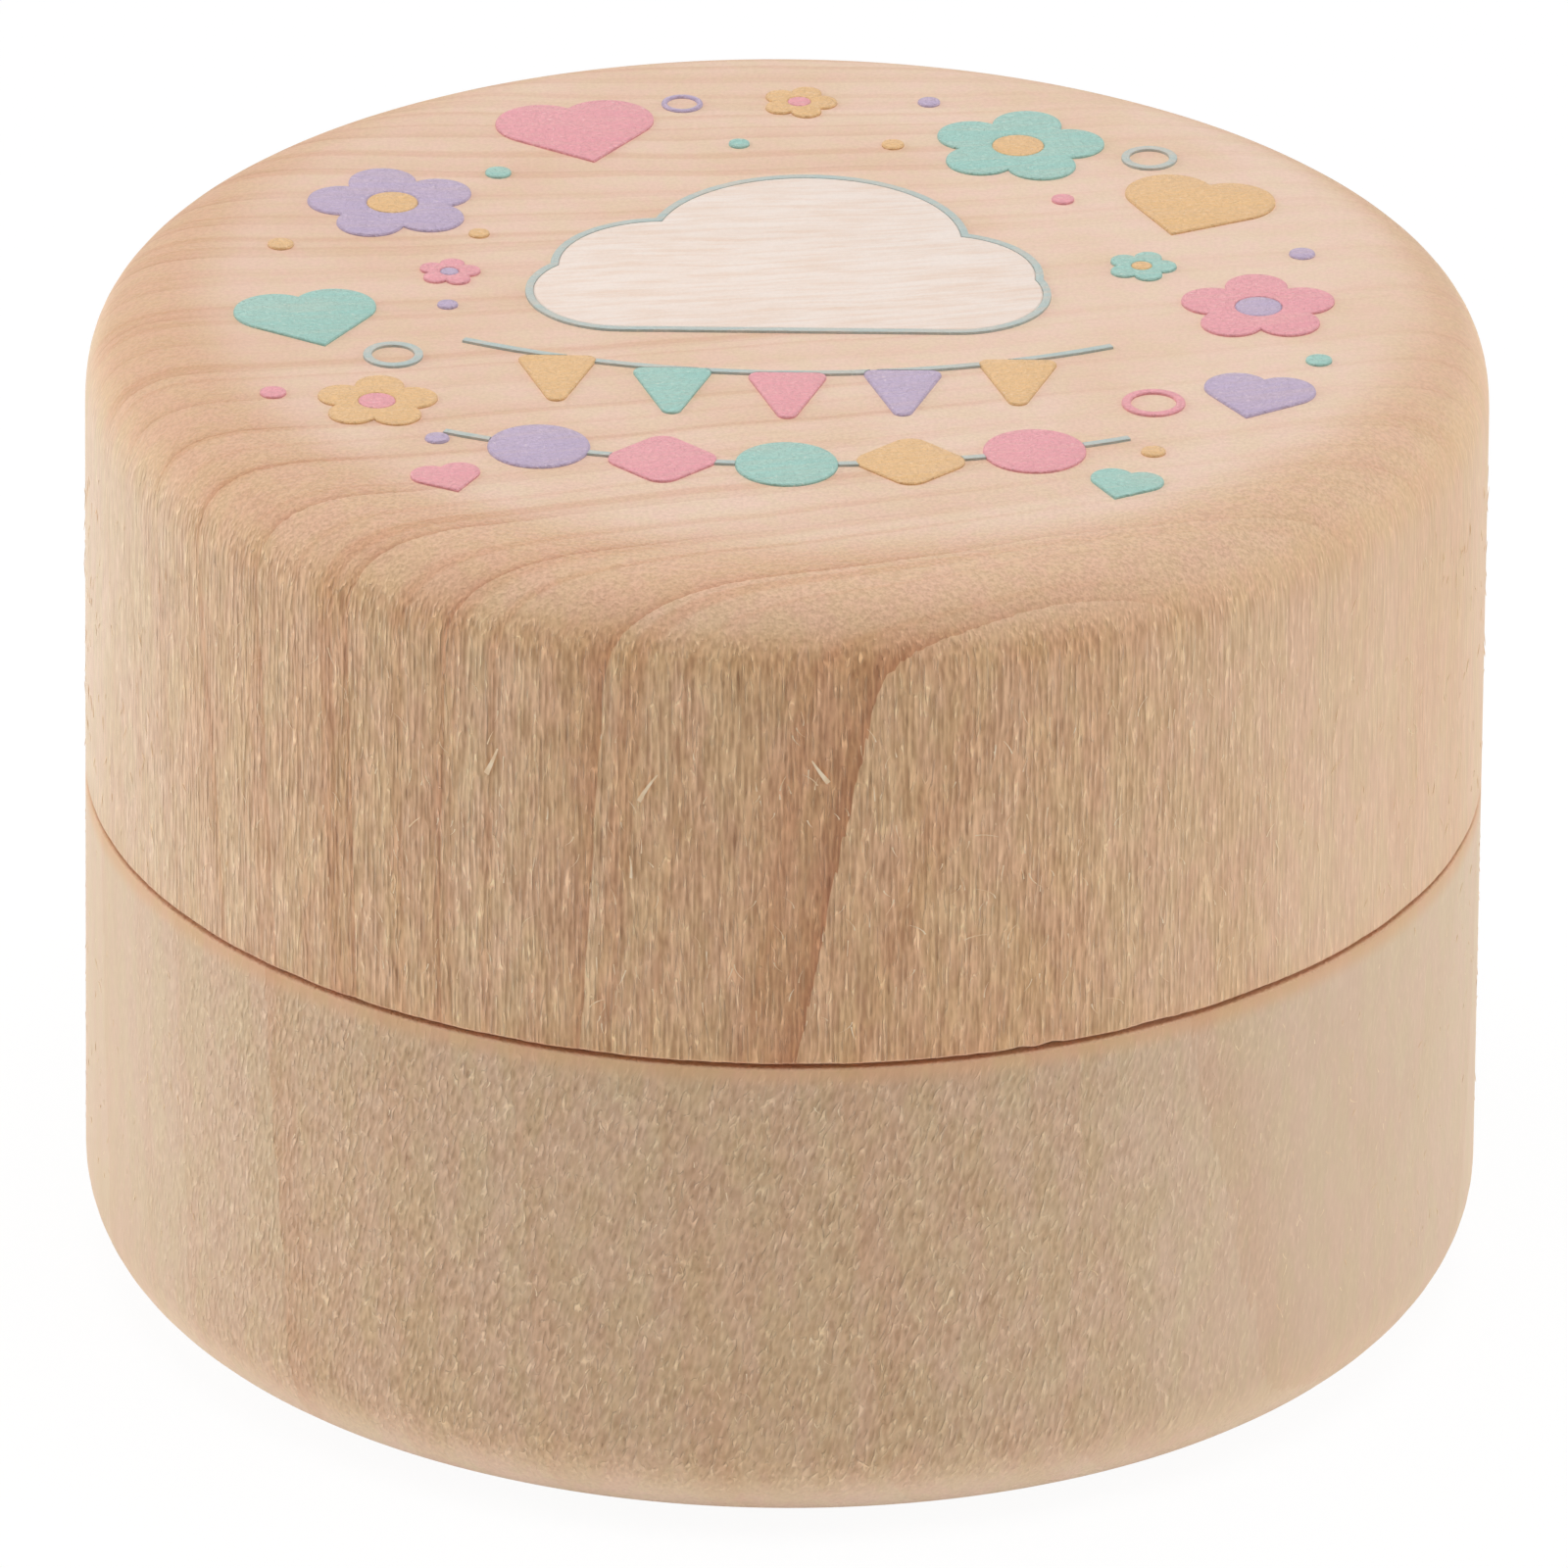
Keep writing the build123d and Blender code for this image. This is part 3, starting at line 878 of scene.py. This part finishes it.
# %% Strew the fibres
def pale_fibre(name):
    """Bare fibre: straw pale, and duller here and there."""
    material, tree, place = fresh_material(name)
    shade = ramp(tree, speckle(tree, place, (2.0, 2.0, 2.0), detail=1.0), 0.35, 0.65)
    colour = blend(tree, shade, screen_colour(240, 210, 172), screen_colour(252, 232, 202))
    surface = add(tree, "BsdfPrincipled", {"Base Color": colour, "Roughness": 0.6, "Specular IOR Level": 0.2})
    add(tree, "OutputMaterial", {0: surface})
    return material


fibre_wood = pale_fibre("fibre_wood")
slivers_in_mm = [
    (-24.5, 29.0, 1.25, 0.24, 27, 9, -0.05), (-11.6, 28.8, 1.35, 0.20, 25, 8, 0.10),
    (3.6, 29.8, 1.10, 0.22, -36, 10, 0.06), (-12.2, 25.8, 0.95, 0.13, 6, 12, -0.12),
    (-31.6, 26.2, 0.80, 0.07, 38, 10, 0.10), (15.6, 27.4, 0.80, 0.05, 80, 14, 0.25),
    (18.6, 30.4, 0.70, 0.06, -20, 14, -0.2), (14.8, 23.4, 0.80, 0.06, 58, 14, 0.3),
    (-33.4, 24.1, 0.85, 0.06, 20, 13, -0.35), (-15.6, 20.6, 0.75, 0.06, 35, 14, 0.3),
]
lid_slivers = [
    (azimuth, height * MM, length * MM, thickness * MM, *bend)
    for azimuth, height, length, thickness, *bend in slivers_in_mm
]
lid_heights = (lid_bottom + 1.0 * MM, lid_top - crown_drop - 0.6 * MM)
base_heights = (base_floor + foot_rounding + 0.6 * MM, shoulder_height - 1.2 * MM)
lid_rows = lid_slivers + short_hairs(1100, lid_heights, (0.20, 0.65), 11)
base_rows = short_hairs(1000, base_heights, (0.15, 0.40), 23)
lid_fibres = loose_fibres("loose_lid_fibres", "lid", fibre_wood, lid_rows)
base_fibres = loose_fibres("loose_base_fibres", "base", fibre_wood, base_rows)

# %% [markdown]
# ## The print
#
# Ink on bare wood is never even: the years and fibres shine through, the end grain drinks some of it, and
# it lies in fine grains. So how much of the wood shows is put together from the lid's own brown zones, from
# streaks that run along its years, and from wide places where the ink is thin. An even coat with a bump
# would look like a sticker.

# %% Where the wood shines through
streak_scale = (0.25, 3.4)
streak_from_to = (0.40, 0.66)
streak_share = 0.7
thin_from_to = (0.35, 0.75)
thin_share = 0.4
ink_zone_share = 0.4


def wood_shown(tree, place):
    """How much of the wood shows through thin ink."""
    depth = depth_in_tree(tree, place, lid_board)
    zone = year_lines(tree, depth, lid_board)["zone"]
    along_years = add(tree, "CombineXYZ", {
        0: times(tree, along(tree, place, "X"), streak_scale[0]),
        1: times(tree, depth, streak_scale[1]),
    })
    streaks = add(tree, "TexNoise", {"Vector": along_years, "Scale": 1.0, "Detail": 3.0, "Roughness": 0.65})
    drunk = speckle(tree, place, (0.35, 0.9, 1.0), detail=3.0, roughness=0.6)
    thin = ramp(tree, drunk, *thin_from_to)
    shown = times_plus(tree, zone, ink_zone_share, times(tree, thin, thin_share))
    return times_plus(tree, ramp(tree, streaks, *streak_from_to), streak_share, shown)


# %% [markdown]
# The inks differ in three things: their colour, how well they hide the wood, and how coarse their grains
# lie. The white and the fine blue-grey lines are thin and smooth, and the four bright ones thick and grainy.

# %% Ink materials
bare_wood_colour = (236, 205, 182)
speck_colour = (246, 232, 220)
darkest_grain, palest_grain = 0.07, 0.06
speck_from_to = (0.62, 0.72)
speck_share = 0.35
grain_rise = 0.10
ink_colours = {
    "print_white": ((248, 233, 223), 0.40, 0.3),
    "print_blue_grey": ((184, 200, 197), 0.62, 0.5),
    "print_teal": ((165, 213, 203), 0.82, 1.1),
    "print_pink": ((246, 168, 178), 0.82, 1.1),
    "print_amber": ((243, 197, 140), 0.82, 1.1),
    "print_lilac": ((199, 180, 210), 0.82, 1.1),
}


def printed_ink(name, colour, cover, grainy, deepen=1.0):
    """The material of one ink; cover is how well it hides the wood, grainy how coarse it lies."""
    material, tree, place = fresh_material(name)
    ink = screen_colour(*(channel * deepen for channel in colour))
    shown = times(tree, wood_shown(tree, place), 1 - cover)
    mixed = blend(tree, shown, ink, screen_colour(*bare_wood_colour))
    grains = speckle(tree, place, (6.5, 6.5, 6.5), detail=2.0, roughness=0.7, distortion=0.6)
    levels = (1 - darkest_grain * grainy, 1 + palest_grain * grainy)
    level = ramp(tree, grains, *most_of_noise, *levels)
    mixed = add(tree, "VectorMath", {0: mixed, 3: level}, operation="SCALE")
    specks = ramp(tree, grains, *speck_from_to, 0.0, speck_share * grainy)
    mixed = blend(tree, specks, mixed, screen_colour(*speck_colour))
    relief = times(tree, grains, grain_rise * grainy)
    surface = add(tree, "BsdfPrincipled", {
        "Base Color": mixed, "Roughness": 0.6, "Specular IOR Level": 0.35, "Sheen Weight": 0.25,
        "Sheen Roughness": 0.5, "Sheen Tint": screen_colour(255, 250, 246), "Normal": bumped(tree, relief),
    })
    add(tree, "OutputMaterial", {0: surface})
    return material


# %% [markdown]
# The print is a thin coat of pastel ink that stands a little above the wood. Its outlines are the CAD
# model's, whose meshes are loose triangles, so a copy is merged, its flat tops are joined to whole faces, and
# their edges are bevelled to the soft brim that wet ink has. The brim gets deeper ink: partly the thicker ink
# that gathers at a wet edge, and partly painted shade along the print's edges.

# %% Raise and bevel the print
brim = 0.07 * MM
# brim_ink_and_shade deepens the brim's ink: thicker ink, and painted shade at the print's edge.
brim_ink_and_shade = 0.96
brim_cover = 0.1
top_tolerance = 0.01 * MM


def bevel_upper_edges(shape):
    """Rounds the sharp edges round the flat tops."""
    ink_top = max(vertex.co.z for vertex in shape.verts)
    upper = [
        edge for edge in shape.edges
        if min(vertex.co.z for vertex in edge.verts) > ink_top - top_tolerance
        and len(edge.link_faces) == 2 and edge.calc_face_angle() > math.radians(45)
    ]
    bmesh.ops.bevel(
        shape, geom=upper, affect="EDGES", offset=brim, offset_type="OFFSET", segments=2, profile=0.5,
        clamp_overlap=True, material=-1,
    )


def raised_print(node):
    """A print node's copy, merged and with its upper edges bevelled to a soft brim."""
    shape = bmesh.new()
    shape.from_mesh(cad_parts[node].data)
    bmesh.ops.remove_doubles(shape, verts=shape.verts, dist=merge_distance)
    bmesh.ops.dissolve_limit(shape, angle_limit=math.radians(0.5), use_dissolve_boundaries=False,
                             verts=shape.verts, edges=shape.edges, delimit={"NORMAL"})
    bevel_upper_edges(shape)
    bmesh.ops.recalc_face_normals(shape, faces=shape.faces)
    for face in shape.faces:
        face.material_index = 0 if face.normal.z > 0.98 else 1
    slot_name = node.replace("print_", "ink_")
    colour, cover, grainy = ink_colours[node]
    inks = [
        printed_ink(slot_name, colour, cover, grainy),
        printed_ink(slot_name + "_brim", colour, min(1.0, cover + brim_cover), grainy, deepen=brim_ink_and_shade),
    ]
    return finish_piece(shape, node.replace("print_", "raised_print_"), "lid", inks, [node])


prints = [raised_print(node) for node in ink_colours]

# %% [markdown]
# ## The studio
#
# A white table under soft light: a broad lamp above, one on each side, and a dim white room. The table shows
# plain white to the camera but for a faint shadow. It is a light table, as small goods are photographed
# on: it throws the lamps' light back up and glows a little itself, which lifts the shade under the foot. It
# lies a fiftieth of a millimetre under the box, so that the two faces don't fight where they meet, and it
# is clear from below, so that the box can be looked at from underneath.

# %% The table
table_reach = 3.0
table_drop = 0.02 * MM
white = (1, 1, 1, 1)


def seen_plainly(tree):
    """1 for what the camera sees, straight, in a gloss or through something clear; 0 for light that falls."""
    path = tree.nodes.new("ShaderNodeLightPath")
    seen = reckon(tree, "MAXIMUM", path.outputs["Is Camera Ray"], path.outputs["Is Glossy Ray"])
    return reckon(tree, "MAXIMUM", seen, path.outputs["Is Transmission Ray"])


def table_surface(white_share, glow_level):
    """A white table that shows mostly plain white to the camera, and keeps a faint shadow."""
    material, tree, _ = fresh_material("table_white")
    paper = add(tree, "BsdfDiffuse", {0: screen_colour(246, 246, 246)})
    lit = add(tree, "AddShader", {0: paper, 1: add(tree, "Emission", {0: white, 1: glow_level})})
    plain = add(tree, "Emission", {0: white, 1: 1.0})
    share = times(tree, seen_plainly(tree), white_share)
    mixed = add(tree, "MixShader", {0: share, 1: lit, 2: plain})
    from_below = add(tree, "NewGeometry", output="Backfacing")
    clear = add(tree, "BsdfTransparent")
    add(tree, "OutputMaterial", {0: add(tree, "MixShader", {0: from_below, 1: mixed, 2: clear})})
    return material


table_shape = bmesh.new()
bmesh.ops.create_grid(table_shape, x_segments=1, y_segments=1, size=table_reach)
table_mesh = mesh_from(table_shape, "table")
table_mesh.materials.append(table_surface(0.92, 0.22))
table = new_object("table", table_mesh)
table.location.z = -table_drop
print("table material:", table_mesh.materials[0].name)

# %% [markdown]
# The room is white where the camera looks at it, and gives only a little light. An evenly bright room would
# be simpler, but it would take the shape out of the box's sides.

# %% The room
room_light = 0.12

world = bpy.data.worlds.new("white_room")
bpy.context.scene.world = world
world.use_nodes = True
room = world.node_tree
room.nodes.clear()
strength = add(room, "Mix", {0: seen_plainly(room), 2: room_light, 3: 1.0}, data_type="FLOAT")
backdrop = add(room, "Background", {0: white, 1: strength})
add(room, "OutputWorld", {0: backdrop})
print("room light:", room_light)

# %% [markdown]
# The lamps are large soft boxes near the object, so the shadows are wide and faint. The left one is the
# stronger of the two at the sides and stands a little behind, which is why the box is lightest at its rims.

# %% Soft lamps
middle = Vector((0, 0, lid_top / 2))
lamp_distance = 0.60


def soft_lamp(name, azimuth, elevation, width, height, watts):
    """A square soft box that faces the middle of the box; azimuth 0 is the front, 90 the right."""
    lamp_data = bpy.data.lights.new(name, "AREA")
    lamp_data.shape = "RECTANGLE"
    lamp_data.size, lamp_data.size_y = width, height
    lamp_data.energy = watts
    turned, raised = math.radians(azimuth), math.radians(elevation)
    level = math.cos(raised)
    away = Vector((math.sin(turned) * level, -math.cos(turned) * level, math.sin(raised)))
    lamp = new_object(name, lamp_data)
    lamp.location = middle + away * lamp_distance
    lamp.rotation_euler = away.to_track_quat("Z", "Y").to_euler()
    print(name, watts, "watts")


soft_lamp("lamp_above", 20, 84, 0.50, 0.50, 2.75)
soft_lamp("lamp_left", -107, 16, 0.50, 0.45, 1.78)
soft_lamp("lamp_right", 98, 16, 0.50, 0.45, 1.15)

# %% [markdown]
# ## The camera
#
# The photograph was taken from about a metre away with a long lens, 25 degrees above the table. The camera
# stands on the same line, and is turned by the half degree that the photograph is. Its lens follows from how
# many pixels a millimetre of the box takes in a picture that is 1600 pixels wide.

# %% Camera
camera_elevation = math.radians(25.102)
camera_roll = math.radians(0.581)
camera_distance = 1.026
aim_right, aim_up = 0.025 * MM, -0.197 * MM
pixels_per_mm, picture_width = 28.473, 1600
sensor_width = 36.0
line_of_sight = Vector((0, math.cos(camera_elevation), -math.sin(camera_elevation)))
sideways = Vector((1, 0, 0))
upwards = sideways.cross(line_of_sight)

camera_data = bpy.data.cameras.new("camera")
camera_data.sensor_width = sensor_width
camera_data.lens = sensor_width * pixels_per_mm * (camera_distance / MM) / picture_width
camera_data.clip_start, camera_data.clip_end = 0.1, 20.0
camera = new_object("camera", camera_data)
camera.location = middle - line_of_sight * camera_distance + sideways * aim_right + upwards * aim_up
facing = (-line_of_sight).to_track_quat("Z", "Y").to_matrix().to_4x4()
camera.rotation_euler = (facing @ Matrix.Rotation(camera_roll, 4, "Z")).to_euler()
bpy.context.scene.camera = camera
bpy.context.scene.view_settings.view_transform = "Standard"
print(f"lens {camera_data.lens:.1f} mm, {camera_distance} m away")
